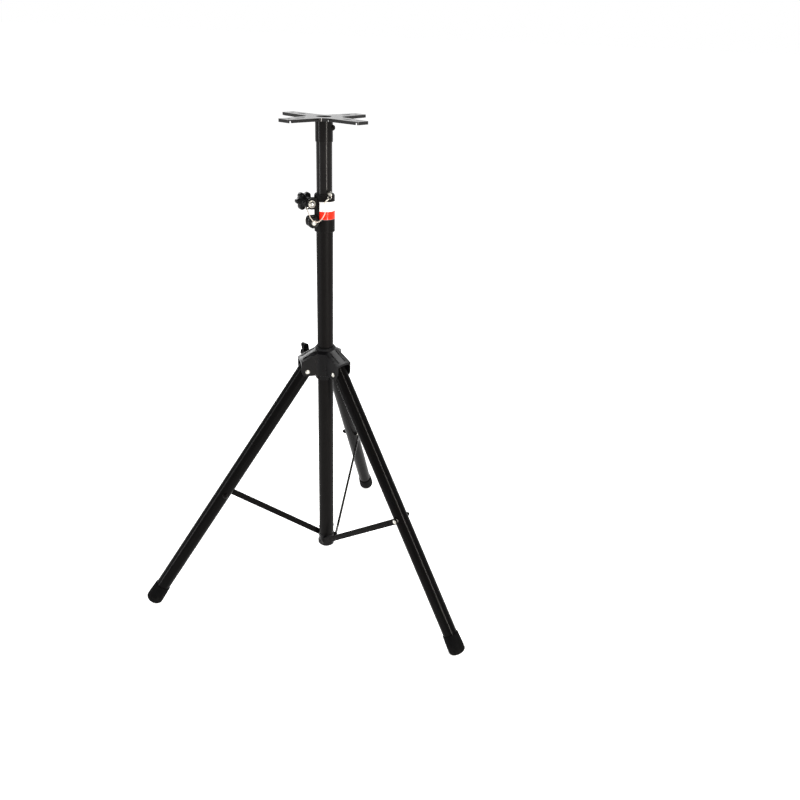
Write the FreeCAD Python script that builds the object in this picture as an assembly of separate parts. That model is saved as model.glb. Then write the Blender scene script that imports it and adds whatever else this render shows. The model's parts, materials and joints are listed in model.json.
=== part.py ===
import FreeCAD, Part
import math
import os

os.makedirs("parts", exist_ok=True)

# Speaker tripod stand. Millimetres. The pole's axis is Z, the floor is z = 0, and the legs stand at
# azimuths 90, 210 and 330 degrees. The mast is lowered and the legs are spread.

# ---------------------------------------------------------------- clearances
FIT = 0.05                 # a shaft in its hole, and fixed pieces beside each other
GAP = 0.3                  # faces of two bodies that move past each other
TUBE_GAP = 0.4             # leg tube beside a cheek

# ---------------------------------------------------------------- legs
FOOT_CIRCLE_R = 471.0      # pole axis to where a leg's axis meets the floor
LEG_LENGTH = 754.0         # leg pivot to that same point
LEG_OD = 36.0
LEG_WALL = 1.5
LEG_TOP = 12.0             # leg tube above its pivot
LEG_PLUG_RIM = 2.0         # rim of the plug on the end of the tube
LEG_PLUG_DEPTH = 24.0
LEG_AZIMUTHS = {"left": 210.0, "right": 330.0, "rear": 90.0}

FOOT_WALL = 3.0
FOOT_LENGTH = 52.0
FOOT_END_FILLET = 10.0
FOOT_BASE = 12.0           # solid rubber under the leg tube

# ---------------------------------------------------------------- struts
STRUT_ON_LEG = 384.0       # leg pivot to strut bolt, along the leg
STRUT_LENGTH = 313.0       # strut bolt to hub rivet
STRUT_WIDTH = 15.0
STRUT_THICKNESS = 3.0
STRUT_RIB_HEIGHT = 1.2     # pressed stiffening rib on the outer face
STRUT_RIB_HALF = 2.6
STRUT_RIB_MARGIN = 26.0    # end of the rib to the hole
STRUT_BOLT_TIP = 7.0       # bolt beyond the leg's surface
SPACER_R = 6.5
HUB_PIVOT_R = 12.0         # pole axis to a strut's hub rivet
BOLT_R = 3.0
RIVET_HEAD_R = 5.5
RIVET_HEAD_H = 2.6

# ---------------------------------------------------------------- mast
INNER_OD = 35.0
INNER_WALL = 1.5
INNER_TUBE_LENGTH = 900.0
MAST_WALL = 1.2
OUTER_TUBE_LENGTH = 894.0
EXPOSED_MAST = 112.0       # inner tube that shows above the collar when lowered
SLIDER_SKIRT = 14.0        # slider under the end of the inner tube
SLIDER_DEPTH = 25.0        # slider inside the inner tube
PIN_PITCH = 100.0          # spacing of the locking holes
PIN_HOLES = 7
PIN_R = 3.0

# ---------------------------------------------------------------- collar
COLLAR_WALL = 4.0
COLLAR_HEIGHT = 82.0
COLLAR_ABOVE_TUBE = 12.0   # collar above the end of the outer tube
COLLAR_SLIT = 4.0
TUBE_SLIT_LENGTH = 55.0    # slit in the top of the outer tube, behind the collar's slit
BUSH_LIP = 1.5
EAR_THICKNESS = 6.0
EAR_AZIMUTH = 222.5
EAR_HEIGHT = 24.0
EAR_BOLT_OUT = 12.0        # collar's surface to the clamp bolts
EAR_END_R = 8.0            # ear beyond its bolt
UPPER_BOLT_BELOW_TOP = 18.0
LOWER_BOLT_BELOW_TOP = 57.0
CLAMP_BOLT_R = 4.0
CLAMP_HEAD_R = 6.5
CLAMP_HEAD_H = 5.5
WASHER_R = 8.0
WASHER_T = 1.4
NUT_FLATS = 13.0
NUT_HEIGHT = 6.5
STAR_KNOB_R = 21.0
STAR_LOBES = 6
STAR_KNOB_NECK_R = 9.0
STAR_KNOB_NECK = 13.0      # neck between the collar and the lobes
STAR_KNOB_DEPTH = 18.0
INSERT_R = 6.0
INSERT_BEYOND_NECK = 9.0
INSERT_END_WALL = 0.8
SMALL_KNOB_R = 13.0
SMALL_KNOB_DEPTH = 10.0
SMALL_KNOB_GROOVES = 12
LABEL_THICKNESS = 0.25
LABEL_TOP = 13.0           # below the top of the collar
LABEL_HEIGHT = 40.0
LABEL_START = 258.0        # azimuth of the label's left edge
LABEL_SPAN = 137.0

# ---------------------------------------------------------------- lock pin
PIN_AZIMUTH = 312.0
PIN_EYE_R = 4.6            # middle of the eye's wire
PIN_EYE_WIRE = 1.3
PIN_TAIL = 3.0             # pin beyond the far wall
PIN_HEAD_OUT = 1.5         # shaft beyond the collar's surface
RING_R = 4.2               # middle of the split ring's wire
RING_WIRE = 0.7
RING_PLAY = 0.1            # between the eye, the ring and the lanyard's loop
RING_PULL_DROP = 41.0      # the lanyard pulls the ring sideways, this many degrees below level
LOOP_R = 2.4
LOOP_WIRE = 0.6
FERRULE_R = 2.0
FERRULE_LENGTH = 5.0

# ---------------------------------------------------------------- plate
PLATE_ARM_R = 115.0        # pole axis to the end of an arm
PLATE_ARM_END = 34.0       # width of an arm's end
PLATE_WAIST_OUT = 7.0      # socket's flange to the hollow between two arms
PLATE_THICKNESS = 2.5
PLATE_SKIRT = 6.5
PLATE_SKIRT_WALL = 1.8
PLATE_TURN = 16.0
PLATE_HOLE_R = 3.5
PLATE_HOLE_IN = 16.0       # end of an arm to its bolt hole
PLATE_SLOT_IN = 17.0       # bolt hole to the outer end of the slot
PLATE_SLOT_LENGTH = 26.0
PLATE_GAP_IN = 2.0         # end of an arm to the gap between its turned-down end and sides
PLATE_GAP = 4.5
PLATE_CENTRE_LIP = 0.9     # plate over the end of the inner tube
SOCKET_LENGTH = 48.5
SOCKET_WALL = 1.65
SOCKET_FLANGE = 6.8
SOCKET_FLANGE_T = 2.5
SOCKET_BOSS_R = 6.0
SOCKET_BOSS_OUT = 1.2
SOCKET_SCREW_AZIMUTH = 2.0
SOCKET_SCREW_UP = 0.6      # share of the socket's length
SOCKET_HEAD_R = 5.5
SOCKET_HEAD_H = 3.8
SOCKET_KEY = 4.0
SOCKET_KEY_DEPTH = 1.6

# ---------------------------------------------------------------- leg housing
CHEEK_THICKNESS = 4.1
ARM_BEYOND_PIVOT = 14.5
ARM_CORNER_R = 13.0
CHEEK_DROP = 12.0          # cheeks below the leg pivots
SLEEVE_DROP = 26.0         # sleeve below the leg pivots
HOUSING_SLOPE = 32.0 / 56.0
ROOF_THICKNESS = 4.5
ROOF_ROOM = 3.6            # roof to the swing of a leg's top
SLEEVE_ROOM = 1.4          # back of the channel to the swing of a leg's top
CHANNEL_BACK = 0.5         # sleeve's surface to the back of the channel
SLEEVE_WALL = 3.7
NECK_RISE = 2.0            # sleeve above the cone-shaped top
BUSH_WALL = 2.0
BUSH_TOP = 4.0             # bush above the sleeve
WEB_OUT = 9.2              # round web that joins the arms, beyond the sleeve
RIB_WIDTH = 2.5
RIB_RISE = 1.6
RIB_PLACES = (-11.5, 9.0)  # across each arm
CLAMP_AZIMUTH = 150.0
CLAMP_RISE = 17.0          # clamp screw above the leg pivots
CLAMP_BOSS_R = 11.0
CLAMP_BOSS_OUT = 16.0      # boss beyond the web
PAD_R = 6.5
PAD_BEYOND_BUSH = 3.0
WING_KNOB_OUT = 14.0       # clamp boss to the knob
WING_KNOB_DEPTH = 20.0
WING_HUB_R = 9.5
WING_LENGTH = 46.0
WING_WIDTH = 20.0
WING_SEAT = 5.0            # back of the knob to the wings
WING_WAIST = 5.0           # thickness of the wings at the middle
WING_TIP_R = 6.8
WING_STUD_DEPTH = 12.0     # stud inside the knob

# ---------------------------------------------------------------- bottom hub
HUB_BODY_OUT = 1.2         # body beyond the mast's surface
HUB_FLANGE_OUT = 3.5
HUB_FLANGE_H = 14.0
HUB_ABOVE_PIVOT = 14.3
HUB_BELOW_PIVOT = 22.0
HUB_BOSS_R = 7.0
HUB_SPIGOT = 40.0
HUB_SPIGOT_WALL = 4.0
HUB_SCREW_R = 2.0
HUB_SCREW_AZIMUTHS = (30.0, 210.0)

# ---------------------------------------------------------------- lanyard
LANYARD_R = 1.1
LANYARD_ROUTE = [
    (-28.2, -39.9, 1013.4), (-22.7, -44.9, 1005.6), (-17.0, -48.8, 996.5), (-12.0, -47.6, 990.2),
    (-4.6, -43.2, 987.2), (1.8, -36.8, 990.2), (6.4, -31.4, 997.4), (10.6, -28.6, 1007.4),
    (11.3, -30.8, 1016.0), (8.5, -33.0, 1023.3), (9.5, -32.6, 1028.7), (12.1, -30.0, 1032.2),
]

# ---------------------------------------------------------------- worked out
LEG_R = LEG_OD / 2
FOOT_R = LEG_R + FOOT_WALL
INNER_R = INNER_OD / 2
MAST_BORE_R = INNER_R + GAP
MAST_R = MAST_BORE_R + MAST_WALL
COLLAR_R = MAST_R + COLLAR_WALL
EAR_BOLT_R = COLLAR_R + EAR_BOLT_OUT
EAR_FACE = COLLAR_SLIT / 2 + EAR_THICKNESS
KNOB_FACE = EAR_FACE + WASHER_T + GAP
INSERT_LENGTH = STAR_KNOB_NECK + INSERT_BEYOND_NECK
SOCKET_R = INNER_R + FIT + SOCKET_WALL
SOCKET_FLANGE_R = SOCKET_R + SOCKET_FLANGE
PLATE_WAIST_R = SOCKET_FLANGE_R + PLATE_WAIST_OUT
PLATE_CENTRE_HOLE_R = INNER_R - PLATE_CENTRE_LIP
PLATE_HOLE_CIRCLE_R = PLATE_ARM_R - PLATE_HOLE_IN
PLATE_SLOT_END = PLATE_HOLE_CIRCLE_R - PLATE_SLOT_IN

BUSH_R = MAST_R + FIT + BUSH_WALL
SLEEVE_R = BUSH_R + FIT + SLEEVE_WALL
WEB_R = SLEEVE_R + WEB_OUT
CHANNEL_R = SLEEVE_R + CHANNEL_BACK
ARM_HALF = LEG_R + TUBE_GAP + CHEEK_THICKNESS
LEG_SWING_R = math.hypot(LEG_R, LEG_TOP + LEG_PLUG_RIM)
LEG_PIVOT_R = CHANNEL_R + LEG_SWING_R + SLEEVE_ROOM
ARM_REACH = LEG_PIVOT_R + ARM_BEYOND_PIVOT
ROOF_OVER_PIVOT = (LEG_SWING_R + ROOF_ROOM) * math.hypot(1, HOUSING_SLOPE)
HOUSING_RISE = ROOF_OVER_PIVOT + (LEG_PIVOT_R - SLEEVE_R) * HOUSING_SLOPE + ROOF_THICKNESS
PAD_BACK = BUSH_R + PAD_BEYOND_BUSH
CLAMP_BOSS_REACH = WEB_R + CLAMP_BOSS_OUT
WING_KNOB_NEAR = CLAMP_BOSS_REACH + WING_KNOB_OUT

LEG_ANGLE = math.asin((FOOT_CIRCLE_R - LEG_PIVOT_R) / LEG_LENGTH)
PIVOT_Z = LEG_LENGTH * math.cos(LEG_ANGLE)
JOINT_R = LEG_PIVOT_R + STRUT_ON_LEG * math.sin(LEG_ANGLE)
JOINT_Z = PIVOT_Z - STRUT_ON_LEG * math.cos(LEG_ANGLE)
HUB_PIVOT_Z = JOINT_Z - math.sqrt(STRUT_LENGTH ** 2 - (JOINT_R - HUB_PIVOT_R) ** 2)
TOP_Z = PIVOT_Z + HOUSING_RISE
SLEEVE_Z = PIVOT_Z - SLEEVE_DROP

OUTER_TUBE_Z = HUB_PIVOT_Z + HUB_ABOVE_PIVOT
OUTER_TUBE_TOP = OUTER_TUBE_Z + OUTER_TUBE_LENGTH
COLLAR_TOP = OUTER_TUBE_TOP + COLLAR_ABOVE_TUBE
COLLAR_Z = COLLAR_TOP - COLLAR_HEIGHT
PIN_Z = COLLAR_TOP + BUSH_LIP + GAP + PIN_R
SOCKET_Z = COLLAR_TOP + EXPOSED_MAST
PLATE_Z = SOCKET_Z + SOCKET_LENGTH
SOCKET_SCREW_Z = SOCKET_Z + SOCKET_LENGTH * SOCKET_SCREW_UP
INNER_TOP = PLATE_Z - GAP
INNER_Z = INNER_TOP - INNER_TUBE_LENGTH
UPPER_BOLT_Z = COLLAR_TOP - UPPER_BOLT_BELOW_TOP
LOWER_BOLT_Z = COLLAR_TOP - LOWER_BOLT_BELOW_TOP

# The struts lie beside the legs and beside the mast, all in planes this far from the pole's axis.
HUB_BODY_R = MAST_R + HUB_BODY_OUT
HUB_FLANGE_R = MAST_R + HUB_FLANGE_OUT
BOSS_FACE = max(LEG_R, HUB_BODY_R) + 0.5
STRUT_NEAR = BOSS_FACE + GAP
STRUT_FAR = STRUT_NEAR + STRUT_THICKNESS


# ---------------------------------------------------------------- helpers
def v(x, y, z):
    return FreeCAD.Vector(x, y, z)


Y_AXIS = v(0, 1, 0)
Z_AXIS = v(0, 0, 1)
ORIGIN = v(0, 0, 0)
ALMOST = 0.98              # corner radius of a round end, as a share of half its width


def save(name, *solids):
    """One node: its solids, written as one STEP file."""
    shape = solids[0] if len(solids) == 1 else Part.makeCompound(list(solids))
    shape.exportStep(f"parts/{name}.step")


def rod(radius, start, direction, length):
    return Part.makeCylinder(radius, length, start, direction)


def pipe(outer, inner, z_low, z_high):
    """An upright ring about the pole's axis."""
    height = z_high - z_low
    return rod(outer, v(0, 0, z_low), Z_AXIS, height).cut(rod(inner, v(0, 0, z_low), Z_AXIS, height))


def turned(shape, degrees, centre=ORIGIN, axis=Z_AXIS):
    """A copy turned about an axis."""
    copy = shape.copy()
    copy.rotate(centre, axis, degrees)
    return copy


def rounded_wire(points, radii):
    """A closed outline with a tangent arc at each corner."""
    count = len(points)
    starts = []
    ends = []
    middles = []
    for i, corner in enumerate(points):
        back = (points[i - 1] - corner).normalize()
        ahead = (points[(i + 1) % count] - corner).normalize()
        half = back.getAngle(ahead) / 2
        reach = radii[i] / math.tan(half)
        bisector = (back + ahead).normalize()
        starts.append(corner + back * reach)
        ends.append(corner + ahead * reach)
        middles.append(corner + bisector * (radii[i] / math.sin(half) - radii[i]))
    edges = []
    for i in range(count):
        edges.append(Part.Arc(starts[i], middles[i], ends[i]).toShape())
        edges.append(Part.LineSegment(ends[i], starts[(i + 1) % count]).toShape())
    return Part.Wire(edges)


def slab(points, radii, thickness_vector):
    """A flat outline with rounded corners, given a thickness."""
    return Part.Face(rounded_wire(points, radii)).extrude(thickness_vector)


def placed(solid, start, direction):
    """A solid made along +Z, moved to start and pointed in a direction."""
    solid.Placement = FreeCAD.Placement(start, FreeCAD.Rotation(Z_AXIS, direction))
    return solid


def revolved(profile, start=ORIGIN, direction=Z_AXIS):
    """A closed profile of (radius, distance) points, turned about an axis."""
    outline = [v(radius, 0, along) for radius, along in profile]
    solid = Part.Face(Part.makePolygon(outline + outline[:1])).revolve(ORIGIN, Z_AXIS, 360)
    return placed(solid, start, direction)


def domed_head(radius, height, start, direction):
    """A round head: a short rim under a spherical cap."""
    rim = height * 0.3
    rise = height - rim
    ball_r = (radius ** 2 + rise ** 2) / (2 * rise)
    half = math.asin(radius / ball_r) / 2
    crown = v(ball_r * math.sin(half), 0, height - ball_r + ball_r * math.cos(half))
    corners = [v(0, 0, height), ORIGIN, v(radius, 0, 0), v(radius, 0, rim)]
    edges = [Part.LineSegment(a, b).toShape() for a, b in zip(corners, corners[1:])]
    edges.append(Part.Arc(corners[-1], crown, corners[0]).toShape())
    return placed(Part.Face(Part.Wire(edges)).revolve(ORIGIN, Z_AXIS, 360), start, direction)


def hex_prism(across_flats, height):
    corner_r = across_flats / math.sqrt(3)
    corners = [radial(60 * k) * corner_r for k in range(6)]
    return Part.Face(Part.makePolygon(corners + corners[:1])).extrude(v(0, 0, height))


def hexagon(across_flats, height, start, direction, bevel=0.8):
    """A hexagonal head or nut with bevelled corners."""
    corner_r = across_flats / math.sqrt(3)
    cap = [(0, 0), (corner_r, 0), (corner_r, height - bevel), (corner_r - 2 * bevel, height), (0, height)]
    solid = hex_prism(across_flats, height).common(revolved(cap))
    return placed(solid, start, direction)


def radial(azimuth):
    angle = math.radians(azimuth)
    return v(math.cos(angle), math.sin(angle), 0)


def out_at(azimuth, distance, height):
    """A point at a distance from the pole's axis."""
    point = radial(azimuth) * distance
    return v(point.x, point.y, height)


# ---------------------------------------------------------------- outer mast
def slit_at(radius, width, z_low, z_high):
    """A cutter for a slit through a wall on the ears' side, from radius outwards."""
    box = Part.makeBox(EAR_BOLT_R + EAR_END_R, width, z_high - z_low, v(radius, -width / 2, z_low))
    return turned(box, EAR_AZIMUTH)


def outer_tube():
    """Tube slit at the top so that the collar can squeeze it, and drilled for the hub's screws."""
    tube = pipe(MAST_R, MAST_BORE_R, OUTER_TUBE_Z, OUTER_TUBE_TOP)
    slit_z = OUTER_TUBE_TOP - TUBE_SLIT_LENGTH
    tube = tube.cut(slit_at(MAST_BORE_R - 1, COLLAR_SLIT / 2, slit_z, OUTER_TUBE_TOP + 1))
    return tube.cut(Part.makeCompound(hub_screw_holes()))


def guide_bush():
    """Split plastic bush in the top of the collar that guides the inner tube, with a lip on the collar."""
    bore = INNER_R + FIT
    sleeve = pipe(MAST_R, bore, OUTER_TUBE_TOP + FIT, COLLAR_TOP)
    lip = pipe(COLLAR_R - 1.5, bore, COLLAR_TOP, COLLAR_TOP + BUSH_LIP)
    bush = sleeve.fuse(lip).removeSplitter()
    return bush.cut(slit_at(bore - 1, COLLAR_SLIT / 2, OUTER_TUBE_TOP, COLLAR_TOP + BUSH_LIP + 1))


def ear_point(radius, across, height):
    """A point by its distance out along the ears, its distance across them, and its height."""
    along = radial(EAR_AZIMUTH)
    sideways = radial(EAR_AZIMUTH + 90)
    point = along * radius + sideways * across
    return v(point.x, point.y, height)


ACROSS = radial(EAR_AZIMUTH + 90)


def clamp_collar():
    """Split collar: a thick ring with two pairs of ears and a slit between them."""
    bore = MAST_R + FIT
    edge = 1.0
    body = revolved([
        (bore, COLLAR_Z), (COLLAR_R - edge, COLLAR_Z), (COLLAR_R, COLLAR_Z + edge),
        (COLLAR_R, COLLAR_TOP - edge), (COLLAR_R - edge, COLLAR_TOP), (bore, COLLAR_TOP),
    ])
    half = EAR_HEIGHT / 2
    root = bore + 1
    reach = EAR_BOLT_R + EAR_END_R
    for bolt_z in (UPPER_BOLT_Z, LOWER_BOLT_Z):
        corners = [
            v(root, -EAR_FACE, bolt_z - half), v(reach, -EAR_FACE, bolt_z - half),
            v(reach, -EAR_FACE, bolt_z + half), v(root, -EAR_FACE, bolt_z + half),
        ]
        ear = slab(corners, [0.5, EAR_END_R, EAR_END_R, 0.5], v(0, 2 * EAR_FACE, 0))
        body = body.fuse(turned(ear, EAR_AZIMUTH))
    body = body.cut(rod(bore, v(0, 0, COLLAR_Z - 1), Z_AXIS, COLLAR_HEIGHT + 2)).removeSplitter()
    body = body.cut(slit_at(MAST_BORE_R, COLLAR_SLIT, COLLAR_Z - 1, COLLAR_TOP + 1))
    for bolt_z in (UPPER_BOLT_Z, LOWER_BOLT_Z):
        hole = rod(CLAMP_BOLT_R + FIT, ear_point(EAR_BOLT_R, -EAR_FACE - 1, bolt_z), ACROSS, 2 * EAR_FACE + 2)
        body = body.cut(hole)
    return body


def collar_label():
    """Thin sticker round part of the collar."""
    z_high = COLLAR_TOP - LABEL_TOP
    z_low = z_high - LABEL_HEIGHT
    band = pipe(COLLAR_R + LABEL_THICKNESS, COLLAR_R, z_low, z_high)
    wedge = Part.makeCylinder(COLLAR_R + 1, LABEL_HEIGHT, v(0, 0, z_low), Z_AXIS, LABEL_SPAN)
    return band.common(turned(wedge, LABEL_START))


def upper_clamp_bolt():
    """Fixed bolt of the upper clamp: its head is on the near side and the star knob turns on its end."""
    seat = EAR_FACE + WASHER_T
    tip = -(KNOB_FACE + INSERT_LENGTH - INSERT_END_WALL - 1)
    shank = rod(CLAMP_BOLT_R, ear_point(EAR_BOLT_R, tip, UPPER_BOLT_Z), ACROSS, seat - tip)
    return shank.fuse(domed_head(CLAMP_HEAD_R, CLAMP_HEAD_H, ear_point(EAR_BOLT_R, seat, UPPER_BOLT_Z), ACROSS))


def clamp_washer(side, bolt_z):
    start = ear_point(EAR_BOLT_R, side * EAR_FACE, bolt_z)
    disc = rod(WASHER_R, start, ACROSS * side, WASHER_T)
    return disc.cut(rod(CLAMP_BOLT_R + FIT, start, ACROSS * side, WASHER_T))


def lanyard_eyelet():
    """Ring terminal under the upper bolt's head, with the crimped barrel that holds the lanyard."""
    ring = clamp_washer(1, UPPER_BOLT_Z)
    start = v(*LANYARD_ROUTE[0])
    outward = (start - v(*LANYARD_ROUTE[1])).normalize()
    barrel = rod(FERRULE_R, start, outward, FERRULE_LENGTH + 1)
    root = ear_point(EAR_BOLT_R, EAR_FACE + WASHER_T / 2, UPPER_BOLT_Z)
    end = start + outward * 2
    neck = (end - root).normalize()
    tab_from = WASHER_R - 0.8
    tab = rod(WASHER_T / 2, root + neck * tab_from, neck, (end - root).Length - tab_from)
    return ring.fuse(tab).fuse(barrel)


def lower_clamp_nut():
    start = ear_point(EAR_BOLT_R, -EAR_FACE, LOWER_BOLT_Z)
    nut = hexagon(NUT_FLATS, NUT_HEIGHT, start, ACROSS * -1)
    return nut.cut(rod(CLAMP_BOLT_R + FIT, start, ACROSS * -1, NUT_HEIGHT))


def star_knob():
    """Six-lobed knob with a neck, hollow for its insert."""
    end = STAR_KNOB_NECK + STAR_KNOB_DEPTH
    lobe_r = STAR_KNOB_R * 0.27
    lobe_centre_r = STAR_KNOB_R - lobe_r
    knob = rod(STAR_KNOB_NECK_R, ORIGIN, Z_AXIS, STAR_KNOB_NECK + 1)
    knob = knob.fuse(rod(lobe_centre_r - 0.5, v(0, 0, STAR_KNOB_NECK), Z_AXIS, STAR_KNOB_DEPTH))
    for k in range(STAR_LOBES):
        centre = out_at(360 / STAR_LOBES * k, lobe_centre_r, STAR_KNOB_NECK)
        knob = knob.fuse(rod(lobe_r, centre, Z_AXIS, STAR_KNOB_DEPTH))
    for k in range(STAR_LOBES):
        centre = out_at(360 / STAR_LOBES * (k + 0.5), STAR_KNOB_R + 1, STAR_KNOB_NECK - 1)
        knob = knob.cut(rod(lobe_r, centre, Z_AXIS, STAR_KNOB_DEPTH + 2))
    crown = revolved([
        (0, 0), (STAR_KNOB_NECK_R, 0), (STAR_KNOB_NECK_R + 2, STAR_KNOB_NECK - 2),
        (STAR_KNOB_R - 2, STAR_KNOB_NECK), (STAR_KNOB_R, STAR_KNOB_NECK + 3),
        (STAR_KNOB_R, end - 4), (STAR_KNOB_R - 3, end), (0, end),
    ])
    knob = knob.common(crown).cut(rod(INSERT_R, v(0, 0, -1), Z_AXIS, INSERT_LENGTH + 1))
    return placed(knob, ear_point(EAR_BOLT_R, -KNOB_FACE, UPPER_BOLT_Z), ACROSS * -1)


def star_knob_insert():
    start = ear_point(EAR_BOLT_R, -KNOB_FACE, UPPER_BOLT_Z)
    brass = rod(INSERT_R, start, ACROSS * -1, INSERT_LENGTH)
    return brass.cut(rod(CLAMP_BOLT_R + FIT, start, ACROSS * -1, INSERT_LENGTH - INSERT_END_WALL))


def lower_knob():
    """Round knob of the lower clamp, with finger grooves."""
    rim = SMALL_KNOB_R
    knob = revolved([
        (0, 0), (rim * 0.58, 0), (rim - 0.6, 2.5), (rim, 3.5), (rim, SMALL_KNOB_DEPTH - 1.5),
        (rim - 1.5, SMALL_KNOB_DEPTH), (0, SMALL_KNOB_DEPTH),
    ])
    for k in range(SMALL_KNOB_GROOVES):
        centre = out_at(360 / SMALL_KNOB_GROOVES * k, rim + 0.6, 2)
        knob = knob.cut(rod(1.5, centre, Z_AXIS, SMALL_KNOB_DEPTH))
    knob = knob.cut(rod(CLAMP_BOLT_R + FIT, v(0, 0, -1), Z_AXIS, SMALL_KNOB_DEPTH + 2))
    return placed(knob, ear_point(EAR_BOLT_R, KNOB_FACE, LOWER_BOLT_Z), ACROSS)


def lower_clamp_screw():
    """Screw fixed in the lower knob, through both ears into the nut."""
    seat = KNOB_FACE + SMALL_KNOB_DEPTH
    tip = -(EAR_FACE + NUT_HEIGHT + 2)
    shank = rod(CLAMP_BOLT_R, ear_point(EAR_BOLT_R, tip, LOWER_BOLT_Z), ACROSS, seat - tip)
    return shank.fuse(domed_head(6.0, 3.2, ear_point(EAR_BOLT_R, seat, LOWER_BOLT_Z), ACROSS))


# ---------------------------------------------------------------- lock pin and lanyard
PIN_OUT = radial(PIN_AZIMUTH)
PIN_SIDE = radial(PIN_AZIMUTH + 90)
PIN_HEAD = COLLAR_R + PIN_HEAD_OUT
EYE_CENTRE = PIN_HEAD + PIN_EYE_WIRE + PIN_EYE_R
EYE_LOW = out_at(PIN_AZIMUTH, EYE_CENTRE, PIN_Z - PIN_EYE_R)   # the wire that the ring hangs on
PULL_ANGLE = math.radians(RING_PULL_DROP)
RING_PULL = PIN_SIDE * -math.cos(PULL_ANGLE) - Z_AXIS * math.sin(PULL_ANGLE)
RING_CENTRE = RING_R - RING_WIRE - PIN_EYE_WIRE - RING_PLAY     # from the eye's wire, along the pull
LOOP_CENTRE = RING_CENTRE + RING_R + LOOP_R - RING_WIRE - LOOP_WIRE - RING_PLAY
FERRULE_FROM = LOOP_CENTRE + LOOP_R - LOOP_WIRE / 2


def lock_pin():
    """Pin with a bevelled tip and an eye for its ring."""
    tail = INNER_R + PIN_TAIL
    shaft = revolved([
        (0, 0), (PIN_R - 1, 0), (PIN_R, 1.2), (PIN_R, tail + PIN_HEAD), (0, tail + PIN_HEAD),
    ], out_at(PIN_AZIMUTH, -tail, PIN_Z), PIN_OUT)
    neck = rod(PIN_EYE_WIRE, out_at(PIN_AZIMUTH, COLLAR_R, PIN_Z), PIN_OUT, PIN_HEAD_OUT + 1)
    eye = Part.makeTorus(PIN_EYE_R, PIN_EYE_WIRE, out_at(PIN_AZIMUTH, EYE_CENTRE, PIN_Z), PIN_SIDE)
    return shaft.fuse(neck).fuse(eye)


def pin_ring():
    """Split ring in the pin's eye, pulled sideways by the lanyard."""
    return Part.makeTorus(RING_R, RING_WIRE, EYE_LOW + RING_PULL * RING_CENTRE, PIN_OUT)


def lanyard_ferrule():
    """Crimp on the end of the lanyard, with a wire loop round the pin's ring."""
    across = RING_PULL.cross(PIN_OUT)
    loop = Part.makeTorus(LOOP_R, LOOP_WIRE, EYE_LOW + RING_PULL * LOOP_CENTRE, across)
    crimp = rod(FERRULE_R, EYE_LOW + RING_PULL * FERRULE_FROM, RING_PULL, FERRULE_LENGTH)
    return crimp.fuse(loop)


def lanyard_cord():
    """Straight runs joined by tangent arcs, as large as the runs allow."""
    points = [v(*point) for point in LANYARD_ROUTE]
    edges = []
    last = points[0]
    for i in range(1, len(points) - 1):
        back = points[i - 1] - points[i]
        ahead = points[i + 1] - points[i]
        short = min(back.Length, ahead.Length)
        half_turn = (math.pi - back.getAngle(ahead)) / 2
        reach = 0.45 * short
        radius = reach / math.tan(half_turn)
        print(f"lanyard bend {i}: radius {radius:.1f} mm, turn {math.degrees(2 * half_turn):.0f} degrees")
        back.normalize()
        ahead.normalize()
        bisector = (back + ahead).normalize()
        start = points[i] + back * reach
        end = points[i] + ahead * reach
        middle = points[i] + bisector * (radius / math.cos(half_turn) - radius)
        edges.append(Part.LineSegment(last, start).toShape())
        edges.append(Part.Arc(start, middle, end).toShape())
        last = end
    edges.append(Part.LineSegment(last, points[-1]).toShape())
    path = Part.Wire(edges)
    first = (points[1] - points[0]).normalize()
    section = Part.Wire([Part.makeCircle(LANYARD_R, points[0], first)])
    tube = path.makePipeShell([section], True, True)
    ideal = math.pi * LANYARD_R ** 2 * path.Length
    print(f"lanyard {path.Length:.1f} mm long, volume {tube.Volume:.2f}, section x length {ideal:.2f}")
    return tube


# ---------------------------------------------------------------- bottom hub
HUB_SCREW_Z = OUTER_TUBE_Z + HUB_SPIGOT / 2


def hub_screw_holes():
    """Cutters for the screws that hold the hub in the mast."""
    start = MAST_BORE_R - HUB_SPIGOT_WALL - 1
    holes = []
    for azimuth in HUB_SCREW_AZIMUTHS:
        middle = out_at(azimuth, start, HUB_SCREW_Z)
        holes.append(rod(HUB_SCREW_R + FIT, middle, radial(azimuth), MAST_R + 1 - start))
    return holes


def bottom_hub():
    """Plug in the foot of the mast with a flange, and a boss beside each strut's inner end."""
    low = HUB_PIVOT_Z - HUB_BELOW_PIVOT
    seat = OUTER_TUBE_Z - FIT
    spigot_r = MAST_BORE_R - FIT
    spigot_top = OUTER_TUBE_Z + HUB_SPIGOT
    body = revolved([
        (0, low), (HUB_FLANGE_R - 5, low), (HUB_FLANGE_R, low + 5), (HUB_FLANGE_R, low + HUB_FLANGE_H - 1),
        (HUB_BODY_R, low + HUB_FLANGE_H + 1.5), (HUB_BODY_R, seat - 1), (MAST_R, seat),
        (spigot_r, seat), (spigot_r, spigot_top - 2), (spigot_r - 2, spigot_top), (0, spigot_top),
    ])
    body = body.cut(rod(MAST_BORE_R - HUB_SPIGOT_WALL, v(0, 0, OUTER_TUBE_Z), Z_AXIS, HUB_SPIGOT + 1))
    body = body.cut(Part.makeCompound(hub_screw_holes()))
    for azimuth in LEG_AZIMUTHS.values():
        width = 4 * HUB_FLANGE_R
        height = HUB_BELOW_PIVOT + HUB_ABOVE_PIVOT
        flat = Part.makeBox(width, width, height, v(-width / 2, -BOSS_FACE - width, low - 1))
        body = body.cut(turned(flat, azimuth))
        boss = rod(HUB_BOSS_R, v(HUB_PIVOT_R, -BOSS_FACE, HUB_PIVOT_Z), Y_AXIS, BOSS_FACE / 2)
        body = body.fuse(turned(boss, azimuth))
    return body.removeSplitter()


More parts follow.
